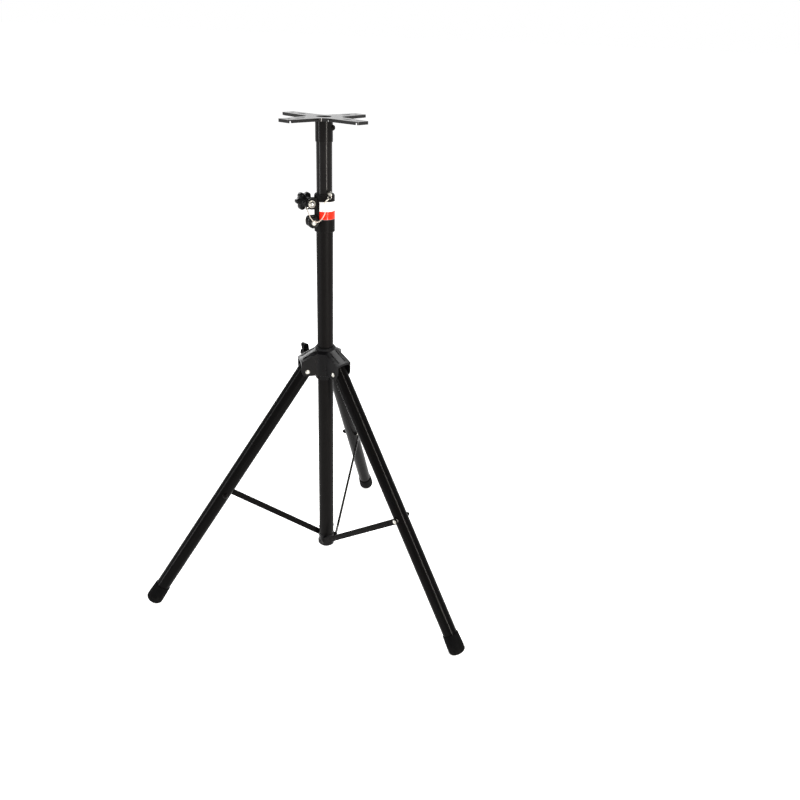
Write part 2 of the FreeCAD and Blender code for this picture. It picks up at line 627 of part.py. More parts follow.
def hub_screws():
    """Screws through the mast's wall into the hub's spigot, with heads curved to the mast."""
    start = MAST_BORE_R - HUB_SPIGOT_WALL + 0.5
    solids = []
    for azimuth in HUB_SCREW_AZIMUTHS:
        out = radial(azimuth)
        shank = rod(HUB_SCREW_R, out_at(azimuth, start, HUB_SCREW_Z), out, MAST_R + 0.5 - start)
        head = domed_head(3.8, 2.0, out_at(azimuth, MAST_R - 0.4, HUB_SCREW_Z), out)
        head = head.cut(pipe(MAST_R, MAST_R - 2, HUB_SCREW_Z - 8, HUB_SCREW_Z + 8))
        solids.append(head.fuse(shank))
    return solids


# ---------------------------------------------------------------- inner mast
def inner_tube():
    tube = pipe(INNER_R, INNER_R - INNER_WALL, INNER_Z, INNER_TOP)
    for k in range(PIN_HOLES):
        start = out_at(PIN_AZIMUTH, -INNER_R - 1, PIN_Z - PIN_PITCH * k)
        tube = tube.cut(rod(PIN_R + FIT, start, PIN_OUT, INNER_OD + 2))
    return tube


def inner_slider():
    """Plastic foot of the inner tube, which runs in the outer tube's bore."""
    bore = INNER_R - INNER_WALL - FIT
    runner = MAST_BORE_R - FIT
    low = INNER_Z - SLIDER_SKIRT
    inside = bore - 3
    return revolved([
        (inside, low), (runner - 1, low), (runner, low + 1), (runner, INNER_Z - 1), (runner - 0.5, INNER_Z),
        (bore, INNER_Z), (bore, INNER_Z + SLIDER_DEPTH), (inside, INNER_Z + SLIDER_DEPTH),
    ])


def inner_top_plug():
    """Cap pressed into the top of the inner tube."""
    bore = INNER_R - INNER_WALL - FIT
    wall = 2.5
    top = INNER_TOP - 0.5
    skirt = top - 21.5
    return revolved([
        (bore - wall, skirt), (bore, skirt), (bore, top - 1), (bore - 1, top), (0, top), (0, top - 3),
        (bore - wall, top - 3),
    ])


# ---------------------------------------------------------------- top plate
def plate_outline(z):
    """Four flared arms with hollows between them."""
    points = []
    radii = []
    for k in range(4):
        arm = 45 + 90 * k
        side = radial(arm + 90) * (PLATE_ARM_END / 2)
        end = out_at(arm, PLATE_ARM_R, z)
        points += [end - side, end + side, out_at(arm + 45, PLATE_WAIST_R, z)]
        radii += [4.0, 4.0, 16.0]
    return rounded_wire(points, radii)


def mount_plate():
    """Pressed plate: a flat top with turned-down edges, open at the corners of the arms."""
    skirt_z = PLATE_Z + PLATE_THICKNESS - PLATE_SKIRT
    through = PLATE_THICKNESS + 2
    low = PLATE_Z - 1
    face = Part.Face(plate_outline(skirt_z))
    block = face.extrude(v(0, 0, PLATE_SKIRT))
    hollow = face.makeOffset2D(-PLATE_SKIRT_WALL).extrude(v(0, 0, PLATE_SKIRT - PLATE_THICKNESS))
    plate = block.cut(hollow)
    plate = plate.cut(rod(PLATE_CENTRE_HOLE_R, v(0, 0, low), Z_AXIS, through))
    slot_start = PLATE_SLOT_END - PLATE_SLOT_LENGTH
    slot = slab([
        v(slot_start, -PLATE_HOLE_R, low), v(PLATE_SLOT_END, -PLATE_HOLE_R, low),
        v(PLATE_SLOT_END, PLATE_HOLE_R, low), v(slot_start, PLATE_HOLE_R, low),
    ], [PLATE_HOLE_R * ALMOST] * 4, v(0, 0, through))
    hole = rod(PLATE_HOLE_R, v(PLATE_HOLE_CIRCLE_R, 0, low), Z_AXIS, through)
    gap = Part.makeBox(PLATE_GAP, 2 * PLATE_ARM_END, PLATE_SKIRT - PLATE_THICKNESS,
                       v(PLATE_ARM_R - PLATE_GAP_IN - PLATE_GAP, -PLATE_ARM_END, skirt_z))
    for k in range(4):
        for tool in (hole, slot, gap):
            plate = plate.cut(turned(tool, 45 + 90 * k))
    return turned(plate, PLATE_TURN)


def plate_socket():
    """Socket that fits over the inner tube, with the flange that is welded under the plate."""
    bore = INNER_R + FIT
    out = radial(SOCKET_SCREW_AZIMUTH)
    start = out_at(SOCKET_SCREW_AZIMUTH, INNER_R - 2, SOCKET_SCREW_Z)
    body = pipe(SOCKET_R, bore, SOCKET_Z, PLATE_Z)
    body = body.fuse(pipe(SOCKET_FLANGE_R, bore, PLATE_Z - SOCKET_FLANGE_T, PLATE_Z))
    body = body.fuse(rod(SOCKET_BOSS_R, start, out, SOCKET_R + SOCKET_BOSS_OUT - INNER_R + 2))
    body = body.cut(rod(bore, v(0, 0, SOCKET_Z - 1), Z_AXIS, SOCKET_LENGTH + 2))
    return body.cut(rod(BOLT_R + FIT, start, out, SOCKET_R)).removeSplitter()


def socket_screw():
    """Screw that clamps the socket on the inner tube, with a hexagonal key hole."""
    out = radial(SOCKET_SCREW_AZIMUTH)
    tip = INNER_R + GAP
    seat = SOCKET_R + SOCKET_BOSS_OUT + GAP
    shank = rod(BOLT_R, out_at(SOCKET_SCREW_AZIMUTH, tip, SOCKET_SCREW_Z), out, seat - tip)
    head = domed_head(SOCKET_HEAD_R, SOCKET_HEAD_H, out_at(SOCKET_SCREW_AZIMUTH, seat, SOCKET_SCREW_Z), out)
    key_floor = out_at(SOCKET_SCREW_AZIMUTH, seat + SOCKET_HEAD_H - SOCKET_KEY_DEPTH, SOCKET_SCREW_Z)
    return shank.fuse(head).cut(placed(hex_prism(SOCKET_KEY, SOCKET_KEY_DEPTH), key_floor, out))


# ---------------------------------------------------------------- leg housing
def sloped_top(lift):
    """Everything under the housing's cone-shaped top, raised or lowered by lift."""
    rim = 1.5 * ARM_REACH
    low = SLEEVE_Z - 2 * LEG_OD
    drop = (rim - SLEEVE_R) * HOUSING_SLOPE
    return revolved([
        (0, low), (rim, low), (rim, TOP_Z - drop + lift), (SLEEVE_R, TOP_Z + lift), (0, TOP_Z + lift),
    ])


def arm_profile():
    """Side view of one arm of the housing, as a slab across the arm."""
    low = PIVOT_Z - CHEEK_DROP
    high = TOP_Z + 5
    corners = [
        v(0, -ARM_HALF, low), v(ARM_REACH, -ARM_HALF, low), v(ARM_REACH, -ARM_HALF, high), v(0, -ARM_HALF, high),
    ]
    return slab(corners, [1, ARM_CORNER_R, 1, 1], v(0, 2 * ARM_HALF, 0))


def clamp_point(distance):
    return out_at(CLAMP_AZIMUTH, distance, PIVOT_Z + CLAMP_RISE)


CLAMP_OUT = radial(CLAMP_AZIMUTH)


def leg_housing():
    """Three arms round a sleeve. Each arm is a channel, open below and outside, that takes a leg."""
    web_z = PIVOT_Z - CHEEK_DROP
    channel_half = LEG_R + TUBE_GAP
    channel_z = SLEEVE_Z - LEG_OD
    body = rod(SLEEVE_R, v(0, 0, SLEEVE_Z), Z_AXIS, TOP_Z - SLEEVE_Z)
    body = body.fuse(rod(WEB_R, v(0, 0, web_z), Z_AXIS, TOP_Z - web_z))
    for azimuth in LEG_AZIMUTHS.values():
        body = body.fuse(turned(arm_profile(), azimuth))
    body = body.common(sloped_top(0))
    for azimuth in LEG_AZIMUTHS.values():
        for across in RIB_PLACES:
            corner = v(SLEEVE_R + 2, across, PIVOT_Z)
            rib = Part.makeBox(ARM_REACH - SLEEVE_R - 8, RIB_WIDTH, HOUSING_RISE, corner)
            body = body.fuse(turned(rib.common(sloped_top(RIB_RISE)), azimuth))
    body = body.fuse(rod(SLEEVE_R, v(0, 0, TOP_Z - 3), Z_AXIS, 3 + NECK_RISE))
    boss_from = SLEEVE_R - 2
    body = body.fuse(rod(CLAMP_BOSS_R, clamp_point(boss_from), CLAMP_OUT, CLAMP_BOSS_REACH - boss_from))
    corner = v(CHANNEL_R, -channel_half, channel_z)
    channel = Part.makeBox(ARM_REACH, 2 * channel_half, TOP_Z - channel_z, corner)
    channel = channel.common(sloped_top(-ROOF_THICKNESS))
    hole = rod(BOLT_R + FIT, v(LEG_PIVOT_R, -ARM_HALF - 1, PIVOT_Z), Y_AXIS, 2 * ARM_HALF + 2)
    for azimuth in LEG_AZIMUTHS.values():
        body = body.cut(turned(channel, azimuth)).cut(turned(hole, azimuth))
    body = body.cut(rod(BUSH_R + FIT, v(0, 0, SLEEVE_Z - 1), Z_AXIS, TOP_Z - SLEEVE_Z + NECK_RISE + 2))
    body = body.cut(rod(PAD_R + FIT, clamp_point(0), CLAMP_OUT, PAD_BACK))
    body = body.cut(rod(CLAMP_BOLT_R + FIT, clamp_point(0), CLAMP_OUT, CLAMP_BOSS_REACH + 1))
    return body.removeSplitter()


def housing_bush():
    """Plastic bush in the housing's bore, with a lip on top."""
    bore = MAST_R + FIT
    lip_z = TOP_Z + NECK_RISE
    top = lip_z + BUSH_TOP
    body = pipe(BUSH_R, bore, SLEEVE_Z, lip_z)
    lip = revolved([
        (bore, lip_z), (SLEEVE_R, lip_z), (SLEEVE_R, lip_z + 1.5), (SLEEVE_R - 2, top), (bore, top),
    ])
    body = body.fuse(lip)
    return body.cut(rod(PAD_R + FIT, clamp_point(0), CLAMP_OUT, PAD_BACK)).removeSplitter()


def clamp_pad():
    """Pad between the clamp screw and the mast, hollowed to the mast."""
    start = MAST_BORE_R - 2
    pad = rod(PAD_R, clamp_point(start), CLAMP_OUT, PAD_BACK - start)
    return pad.cut(rod(MAST_R + FIT, v(0, 0, SLEEVE_Z), Z_AXIS, TOP_Z - SLEEVE_Z))


def leg_pivot_rivets():
    """One rivet through both cheeks of each arm, with a domed head at each end."""
    solids = []
    for azimuth in LEG_AZIMUTHS.values():
        shank = rod(BOLT_R, v(LEG_PIVOT_R, -ARM_HALF, PIVOT_Z), Y_AXIS, 2 * ARM_HALF)
        near = domed_head(RIVET_HEAD_R, RIVET_HEAD_H, v(LEG_PIVOT_R, -ARM_HALF, PIVOT_Z), Y_AXIS * -1)
        far = domed_head(RIVET_HEAD_R, RIVET_HEAD_H, v(LEG_PIVOT_R, ARM_HALF, PIVOT_Z), Y_AXIS)
        solids.append(turned(shank.fuse(near).fuse(far), azimuth))
    return solids


def wing_knob():
    """Clamp knob: a round hub with two wings, one up and one down, that rise towards their tips."""
    hub = revolved([
        (0, 0), (WING_HUB_R - 1, 0), (WING_HUB_R, WING_SEAT), (WING_HUB_R, WING_KNOB_DEPTH - 3),
        (WING_HUB_R - 2.5, WING_KNOB_DEPTH), (0, WING_KNOB_DEPTH),
    ])
    long_half = WING_LENGTH / 2
    half = WING_WIDTH / 2
    tip_half = half * 0.72
    height = WING_KNOB_DEPTH - WING_SEAT
    wings = slab([
        v(-long_half, -tip_half, WING_SEAT), v(0, -half, WING_SEAT), v(long_half, -tip_half, WING_SEAT),
        v(long_half, tip_half, WING_SEAT), v(0, half, WING_SEAT), v(-long_half, tip_half, WING_SEAT),
    ], [WING_TIP_R, 3 * half, WING_TIP_R, WING_TIP_R, 3 * half, WING_TIP_R], v(0, 0, height))
    rise = height - WING_WAIST
    dish_r = (long_half ** 2 + rise ** 2) / (2 * rise)
    dish = rod(dish_r, v(0, -WING_WIDTH, WING_SEAT + WING_WAIST + dish_r), Y_AXIS, 2 * WING_WIDTH)
    knob = wings.cut(dish).fuse(hub)
    knob = knob.cut(rod(CLAMP_BOLT_R + FIT, v(0, 0, -1), Z_AXIS, WING_STUD_DEPTH + 2))
    knob.rotate(ORIGIN, Y_AXIS, 90)
    knob.rotate(ORIGIN, Z_AXIS, CLAMP_AZIMUTH)
    knob.translate(clamp_point(WING_KNOB_NEAR))
    return knob


def wing_stud():
    tip = PAD_BACK + GAP
    return rod(CLAMP_BOLT_R, clamp_point(tip), CLAMP_OUT, WING_KNOB_NEAR + WING_STUD_DEPTH - tip)


# ---------------------------------------------------------------- legs, modelled along +X
LEG_DOWN = v(math.sin(LEG_ANGLE), 0, -math.cos(LEG_ANGLE))
FOOT_LEAN = (FOOT_R - FOOT_END_FILLET) * math.sin(LEG_ANGLE)
FOOT_END = (PIVOT_Z - FOOT_END_FILLET - FOOT_LEAN) / math.cos(LEG_ANGLE) + FOOT_END_FILLET
TUBE_END = FOOT_END - FOOT_BASE


def on_leg(distance):
    return v(LEG_PIVOT_R, 0, PIVOT_Z) + LEG_DOWN * distance


def leg_tube():
    length = TUBE_END + LEG_TOP
    tube = rod(LEG_R, on_leg(-LEG_TOP), LEG_DOWN, length)
    tube = tube.cut(rod(LEG_R - LEG_WALL, on_leg(-LEG_TOP), LEG_DOWN, length))
    for distance in (0, STRUT_ON_LEG):
        drill = rod(BOLT_R + FIT, on_leg(distance) - Y_AXIS * (LEG_R + 1), Y_AXIS, LEG_OD + 2)
        tube = tube.cut(drill)
    return tube


def leg_plug():
    """Plastic plug in the top of a leg, bored for the pivot rivet."""
    bore = LEG_R - LEG_WALL - FIT
    end = LEG_PLUG_RIM + LEG_PLUG_DEPTH
    plug = revolved([
        (0, 0), (LEG_R - 1.5, 0), (LEG_R, 1.5), (LEG_R, LEG_PLUG_RIM), (bore, LEG_PLUG_RIM), (bore, end - 2),
        (bore - 2, end), (0, end),
    ], on_leg(-LEG_TOP - LEG_PLUG_RIM), LEG_DOWN)
    return plug.cut(rod(BOLT_R + FIT, on_leg(0) - Y_AXIS * LEG_OD, Y_AXIS, 2 * LEG_OD))


def foot_cap():
    """Rubber foot: a thick cup with a rounded end, a little wider towards the floor."""
    end = FOOT_LENGTH
    rim = FOOT_R - FOOT_WALL * 0.4
    bore = LEG_R + FIT
    floor = end - FOOT_BASE + FIT
    fillet = FOOT_END_FILLET
    bulge = fillet * math.sqrt(0.5)
    outside = [
        v(bore, 0, 0), v(rim - 0.6, 0, 0), v(rim, 0, 1.5), v(FOOT_R, 0, end * 0.62), v(FOOT_R, 0, end - fillet),
    ]
    inside = [v(FOOT_R - fillet, 0, end), v(0, 0, end), v(0, 0, floor), v(bore, 0, floor), outside[0]]
    corner = v(FOOT_R - fillet + bulge, 0, end - fillet + bulge)
    edges = [Part.LineSegment(a, b).toShape() for a, b in zip(outside, outside[1:])]
    edges.append(Part.Arc(outside[-1], corner, inside[0]).toShape())
    edges += [Part.LineSegment(a, b).toShape() for a, b in zip(inside, inside[1:])]
    cap = Part.Face(Part.Wire(edges)).revolve(ORIGIN, Z_AXIS, 360)
    return placed(cap, on_leg(FOOT_END - FOOT_LENGTH), LEG_DOWN)


def strut_bolt():
    """Bolt through the strut and the leg, with its head on the strut's side."""
    start = on_leg(STRUT_ON_LEG) - Y_AXIS * (STRUT_FAR + GAP)
    shank = rod(BOLT_R, start, Y_AXIS, STRUT_FAR + GAP + LEG_R + STRUT_BOLT_TIP)
    return shank.fuse(domed_head(RIVET_HEAD_R, RIVET_HEAD_H + 1, start, Y_AXIS * -1))


def strut_spacer():
    """Spacer between the leg and the strut, hollowed to the leg."""
    start = on_leg(STRUT_ON_LEG) - Y_AXIS * BOSS_FACE
    spacer = rod(SPACER_R, start, Y_AXIS, BOSS_FACE - LEG_R + 2)
    spacer = spacer.cut(rod(LEG_R, on_leg(STRUT_ON_LEG - LEG_R), LEG_DOWN, LEG_OD))
    return spacer.cut(rod(BOLT_R + FIT, start, Y_AXIS, LEG_R))


def strut_nut():
    """Domed nut on a washer that is hollowed to the leg."""
    washer_t = 1.6
    nut_h = 5.0
    middle = on_leg(STRUT_ON_LEG)
    seat = middle + Y_AXIS * (LEG_R + washer_t)
    washer = rod(SPACER_R, middle + Y_AXIS * (LEG_R - 2), Y_AXIS, 2 + washer_t)
    washer = washer.cut(rod(LEG_R, on_leg(STRUT_ON_LEG - LEG_R), LEG_DOWN, LEG_OD))
    nut = hexagon(10.0, nut_h, seat, Y_AXIS, 0.6)
    cap = domed_head(4.4, 5.0, seat + Y_AXIS * (nut_h - 1), Y_AXIS)
    body = washer.fuse(nut).fuse(cap)
    return body.cut(rod(BOLT_R + FIT, middle, Y_AXIS, LEG_R + STRUT_BOLT_TIP + FIT))


# ---------------------------------------------------------------- struts, beside the leg on its -Y side
STRUT_OUT = v(JOINT_R, -STRUT_NEAR, JOINT_Z)
STRUT_IN = v(HUB_PIVOT_R, -STRUT_NEAR, HUB_PIVOT_Z)


def strut_bar():
    """Flat bar with round ends, a hole at each end and a pressed rib along its outer face."""
    along = (STRUT_IN - STRUT_OUT).normalize()
    across = along.cross(Y_AXIS)

    def strip(start, end, half, face, thickness):
        side = across * half
        corners = [start - side + face, end - side + face, end + side + face, start + side + face]
        return slab(corners, [half * ALMOST] * 4, Y_AXIS * -thickness)

    cap = along * (STRUT_WIDTH / 2)
    margin = along * STRUT_RIB_MARGIN
    outer_face = Y_AXIS * -STRUT_THICKNESS
    bar = strip(STRUT_OUT - cap, STRUT_IN + cap, STRUT_WIDTH / 2, ORIGIN, STRUT_THICKNESS)
    rib = strip(STRUT_OUT + margin, STRUT_IN - margin, STRUT_RIB_HALF, outer_face, STRUT_RIB_HEIGHT)
    bar = bar.fuse(rib)
    for end in (STRUT_OUT, STRUT_IN):
        bar = bar.cut(rod(BOLT_R + FIT, end + Y_AXIS, Y_AXIS * -1, STRUT_THICKNESS + 2))
    return bar.removeSplitter()


def strut_hub_rivet():
    """Rivet in the strut's inner end, flush on the side that lies against the hub's boss."""
    shank = rod(BOLT_R, STRUT_IN, Y_AXIS * -1, STRUT_THICKNESS)
    return shank.fuse(domed_head(RIVET_HEAD_R, RIVET_HEAD_H, STRUT_IN - Y_AXIS * STRUT_THICKNESS, Y_AXIS * -1))


# ---------------------------------------------------------------- write the nodes
save("outer_tube", outer_tube())
save("guide_bush", guide_bush())
save("clamp_collar", clamp_collar())
save("collar_label", collar_label())
save("upper_clamp_bolt", upper_clamp_bolt())
save("clamp_washers", clamp_washer(-1, UPPER_BOLT_Z), clamp_washer(1, LOWER_BOLT_Z))
save("lower_clamp_nut", lower_clamp_nut())
save("bottom_hub", bottom_hub())
save("hub_screws", *hub_screws())
save("lanyard_eyelet", lanyard_eyelet())
save("lanyard_cord", lanyard_cord())
save("star_knob", star_knob())
save("star_knob_insert", star_knob_insert())
save("lower_knob", lower_knob())
save("lower_clamp_screw", lower_clamp_screw())
save("lock_pin", lock_pin())
save("pin_ring", pin_ring())
save("lanyard_ferrule", lanyard_ferrule())
save("inner_tube", inner_tube())
save("inner_slider", inner_slider())
save("inner_top_plug", inner_top_plug())
save("mount_plate", mount_plate())
save("plate_socket", plate_socket())
save("socket_screw", socket_screw())
save("leg_housing", leg_housing())
save("housing_bush", housing_bush())
save("clamp_pad", clamp_pad())
save("leg_pivot_rivets", *leg_pivot_rivets())
save("wing_knob", wing_knob())
save("wing_stud", wing_stud())
for side, leg_azimuth in LEG_AZIMUTHS.items():
    for piece_name, make in (
        ("leg_tube", leg_tube), ("leg_plug", leg_plug), ("foot_cap", foot_cap), ("strut_bolt", strut_bolt),
        ("strut_spacer", strut_spacer), ("strut_nut", strut_nut), ("strut_bar", strut_bar),
        ("strut_hub_rivet", strut_hub_rivet),
    ):
        save(f"{side}_{piece_name}", turned(make(), leg_azimuth))
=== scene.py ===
import json
import math
import bpy
from mathutils import Matrix, Vector


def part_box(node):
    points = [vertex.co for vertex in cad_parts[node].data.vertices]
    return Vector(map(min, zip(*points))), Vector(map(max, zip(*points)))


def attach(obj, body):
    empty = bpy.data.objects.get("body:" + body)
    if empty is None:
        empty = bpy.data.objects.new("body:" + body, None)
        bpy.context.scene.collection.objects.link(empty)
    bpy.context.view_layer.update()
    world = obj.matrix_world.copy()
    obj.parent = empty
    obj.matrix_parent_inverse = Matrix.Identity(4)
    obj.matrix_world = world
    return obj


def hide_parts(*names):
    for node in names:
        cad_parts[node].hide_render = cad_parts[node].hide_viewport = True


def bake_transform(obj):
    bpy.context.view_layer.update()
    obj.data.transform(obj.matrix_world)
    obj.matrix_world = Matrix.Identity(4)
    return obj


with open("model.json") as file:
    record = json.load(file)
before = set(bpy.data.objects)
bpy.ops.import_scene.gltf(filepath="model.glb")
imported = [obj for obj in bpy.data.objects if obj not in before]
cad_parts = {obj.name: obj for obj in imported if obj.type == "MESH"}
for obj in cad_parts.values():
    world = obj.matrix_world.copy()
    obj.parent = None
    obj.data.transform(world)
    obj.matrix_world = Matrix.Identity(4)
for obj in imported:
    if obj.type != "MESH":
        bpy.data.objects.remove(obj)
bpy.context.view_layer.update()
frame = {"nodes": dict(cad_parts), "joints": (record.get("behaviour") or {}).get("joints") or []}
NODES = frame["nodes"]
JOINTS = {joint["name"]: joint for joint in frame["joints"]}
SIDES = ("left", "right", "rear")
UP = Vector((0, 0, 1))
MM = 0.001
FLOOR_HALF = 200            # half the floor's side, in metres
STUD_PITCH = 1.25 * MM
LOWER_KNOB_BORE = 4.05 * MM
RING_WIRE_R = 0.35 * MM
RING_TURNS = 1.94
BEAD_CENTRE_R = 19.2 * MM
BEAD_R = 1.35 * MM
BEAD_RIPPLE = 0.18 * MM
STRAND_PITCH = 7 * MM       # one twist of the lanyard's strands


# ---------------------------------------------------------------- places, read from the frame
def pivot(joint):
    return Vector(JOINTS[joint]["pos_m"])


def axis(joint):
    return Vector(JOINTS[joint]["axis"]).normalized()


def measure(node, origin, direction):
    """How far a node reaches along an axis, lowest and highest, and its largest radius about it."""
    offsets = [vertex.co - origin for vertex in NODES[node].data.vertices]
    along = [offset.dot(direction) for offset in offsets]
    radius = max((offset - direction * far).length for offset, far in zip(offsets, along))
    return min(along), max(along), radius


def leg_line(side):
    """A leg's pivot and the direction down its axis."""
    start = pivot(f"{side}_leg_fold")
    across = axis(f"{side}_leg_fold")
    bolt = pivot(f"{side}_strut_fold") - start
    return start, (bolt - across * bolt.dot(across)).normalized()


# ---------------------------------------------------------------- camera, floor and light
CAMERA_AT = Vector((0.502, -1.670, 1.372))
CAMERA_HEADING = math.radians(100.6)
CAMERA_DOWN = math.radians(25.58)
CAMERA_ROLL = math.radians(2.3)
CAMERA_LENS = 34.54


def make_camera():
    level = Vector((math.cos(CAMERA_HEADING), math.sin(CAMERA_HEADING), 0))
    forward = level * math.cos(CAMERA_DOWN) - UP * math.sin(CAMERA_DOWN)
    right = forward.cross(UP).normalized()
    up = right.cross(forward)
    rolled_right = right * math.cos(CAMERA_ROLL) + up * math.sin(CAMERA_ROLL)
    rolled_up = up * math.cos(CAMERA_ROLL) - right * math.sin(CAMERA_ROLL)
    camera = bpy.data.objects.new("camera", bpy.data.cameras.new("camera"))
    camera.data.lens = CAMERA_LENS
    camera.data.sensor_width = 36
    turn = Matrix((rolled_right, rolled_up, -forward)).transposed()
    camera.matrix_world = Matrix.Translation(CAMERA_AT) @ turn.to_4x4()
    bpy.context.scene.collection.objects.link(camera)
    bpy.context.scene.camera = camera


def softbox(name, at, target, size, power, shade=(1, 1, 1)):
    light = bpy.data.lights.new(name, "AREA")
    light.shape = "RECTANGLE"
    light.size, light.size_y = size
    light.energy = power
    light.color = shade
    lamp = bpy.data.objects.new(name, light)
    lamp.location = at
    lamp.rotation_mode = "QUATERNION"
    lamp.rotation_quaternion = (Vector(target) - Vector(at)).to_track_quat("-Z", "Y")
    bpy.context.scene.collection.objects.link(lamp)


def make_studio():
    """A sky that is bright near the horizon and dim overhead, two tall strips and two soft boxes."""
    world = bpy.data.worlds.new("studio")
    world.use_nodes = True
    tree = world.node_tree
    direction = tree.nodes.new("ShaderNodeTexCoord")
    split = tree.nodes.new("ShaderNodeSeparateXYZ")
    fade = tree.nodes.new("ShaderNodeMapRange")
    fade.inputs["From Min"].default_value = 0.25
    fade.inputs["From Max"].default_value = 0.85
    fade.inputs["To Min"].default_value = 1.0
    fade.inputs["To Max"].default_value = 0.2
    tree.links.new(direction.outputs["Generated"], split.inputs[0])
    tree.links.new(split.outputs["Z"], fade.inputs["Value"])
    tree.links.new(fade.outputs["Result"], tree.nodes["Background"].inputs["Strength"])
    tree.nodes["Background"].inputs["Color"].default_value = (1, 1, 1, 1)
    bpy.context.scene.world = world
    bpy.context.scene.view_settings.view_transform = "Standard"
    softbox("strip_right", (1.53, -1.29, 1.10), (0, 0, 0.80), (0.11, 1.7), 48, (1, 0.95, 0.88))
    softbox("strip_left", (-1.75, -1.30, 0.80), (0, 0, 0.75), (0.16, 1.4), 20)
    softbox("above_right", (0.80, 1.70, 3.0), (0, 0, 0.75), (1.3, 1.3), 60)
    softbox("behind_left", (-1.85, 2.10, 1.80), (0, 0, 0.75), (0.9, 0.7), 30)


def make_floor():
    mesh = bpy.data.meshes.new("floor")
    corners = [(x * FLOOR_HALF, y * FLOOR_HALF, 0) for x, y in ((-1, -1), (1, -1), (1, 1), (-1, 1))]
    mesh.from_pydata(corners, [], [(0, 1, 2, 3)])
    floor = bpy.data.objects.new("floor", mesh)
    bpy.context.scene.collection.objects.link(floor)
    surface = Surface("floor_white", roughness=0.9, specular=0.0)
    surface.shader.inputs["Base Color"].default_value = (0.85, 0.85, 0.85, 1)
    surface.shader.inputs["Emission Color"].default_value = (1, 1, 1, 1)
    surface.shader.inputs["Emission Strength"].default_value = 0.66
    mesh.materials.append(surface.material)


# ---------------------------------------------------------------- materials
class Surface:
    """A material being made: its nodes, its shader and the object's own coordinates."""

    def __init__(self, name, metallic=0.0, roughness=None, specular=0.5, coat=0.0, coat_roughness=0.1):
        self.material = bpy.data.materials.new(name)
        self.material.use_nodes = True
        self.tree = self.material.node_tree
        self.shader = self.tree.nodes["Principled BSDF"]
        self.shader.inputs["Metallic"].default_value = metallic
        self.shader.inputs["Specular IOR Level"].default_value = specular
        self.shader.inputs["Coat Weight"].default_value = coat
        self.shader.inputs["Coat Roughness"].default_value = coat_roughness
        if roughness is not None:
            self.shader.inputs["Roughness"].default_value = roughness
        self.place = self.add("ShaderNodeTexCoord").outputs["Object"]

    def add(self, kind, **settings):
        node = self.tree.nodes.new(kind)
        for name, value in settings.items():
            setattr(node, name, value)
        return node

    def feed(self, socket, value):
        """Links a socket's source, or sets its number."""
        if isinstance(value, bpy.types.NodeSocket):
            self.tree.links.new(value, socket)
        else:
            socket.default_value = value

    def stretched(self, scales, turn=(0, 0, 0)):
        """Coordinates turned and then scaled, for marks that run one way."""
        node = self.add("ShaderNodeMapping", vector_type="TEXTURE")
        self.feed(node.inputs["Vector"], self.place)
        node.inputs["Rotation"].default_value = turn
        node.inputs["Scale"].default_value = [1 / scale for scale in scales]
        return node.outputs["Vector"]

    def noise(self, scale, detail=4.0, roughness=0.5, at=None):
        node = self.add("ShaderNodeTexNoise")
        self.feed(node.inputs["Vector"], self.place if at is None else at)
        node.inputs["Scale"].default_value = scale
        node.inputs["Detail"].default_value = detail
        node.inputs["Roughness"].default_value = roughness
        return node.outputs["Fac"]

    def cells(self, scale):
        node = self.add("ShaderNodeTexVoronoi")
        self.feed(node.inputs["Vector"], self.place)
        node.inputs["Scale"].default_value = scale
        return node.outputs["Distance"]

    def ranged(self, value, low, high, out_low=0.0, out_high=1.0):
        """Maps low..high to out_low..out_high, and stops there."""
        node = self.add("ShaderNodeMapRange")
        self.feed(node.inputs["Value"], value)
        node.inputs["From Min"].default_value = low
        node.inputs["From Max"].default_value = high
        node.inputs["To Min"].default_value = out_low
        node.inputs["To Max"].default_value = out_high
        return node.outputs["Result"]

    def maths(self, operation, first, second=0.0):
        node = self.add("ShaderNodeMath", operation=operation)
        self.feed(node.inputs[0], first)
        self.feed(node.inputs[1], second)
        return node.outputs[0]

    def blend(self, share, first, second):
        """A colour between two, by share."""
        node = self.add("ShaderNodeMix", data_type="RGBA")
        self.feed(node.inputs["Factor"], share)
        for socket, value in ((node.inputs[6], first), (node.inputs[7], second)):
            self.feed(socket, value if isinstance(value, bpy.types.NodeSocket) else (*value, 1))
        return node.outputs[2]

    def parts(self):
        node = self.add("ShaderNodeSeparateXYZ")
        self.feed(node.inputs[0], self.place)
        return node.outputs

    def soft_edges(self, radius):
        """The normal as if sharp edges were rounded to a radius."""
        node = self.add("ShaderNodeBevel", samples=4)
        node.inputs["Radius"].default_value = radius
        return node.outputs["Normal"]

    def edge_mask(self, radius):
        """1 on sharp edges and 0 on open faces."""
        dot = self.add("ShaderNodeVectorMath", operation="DOT_PRODUCT")
        self.feed(dot.inputs[0], self.soft_edges(radius))
        self.feed(dot.inputs[1], self.add("ShaderNodeNewGeometry").outputs["Normal"])
        return self.ranged(dot.outputs["Value"], 0.985, 0.9)

    def bump(self, height, distance, strength=1.0, normal=None):
        node = self.add("ShaderNodeBump")
        self.feed(node.inputs["Height"], height)
        node.inputs["Distance"].default_value = distance
        node.inputs["Strength"].default_value = strength
        if normal is not None:
            self.feed(node.inputs["Normal"], normal)
        return node.outputs["Normal"]

    def finish(self, colour, roughness=None, normal=None):
        self.feed(self.shader.inputs["Base Color"], colour)
        if roughness is not None:
            self.feed(self.shader.inputs["Roughness"], roughness)
        if normal is not None:
            self.feed(self.shader.inputs["Normal"], normal)
        return self.material


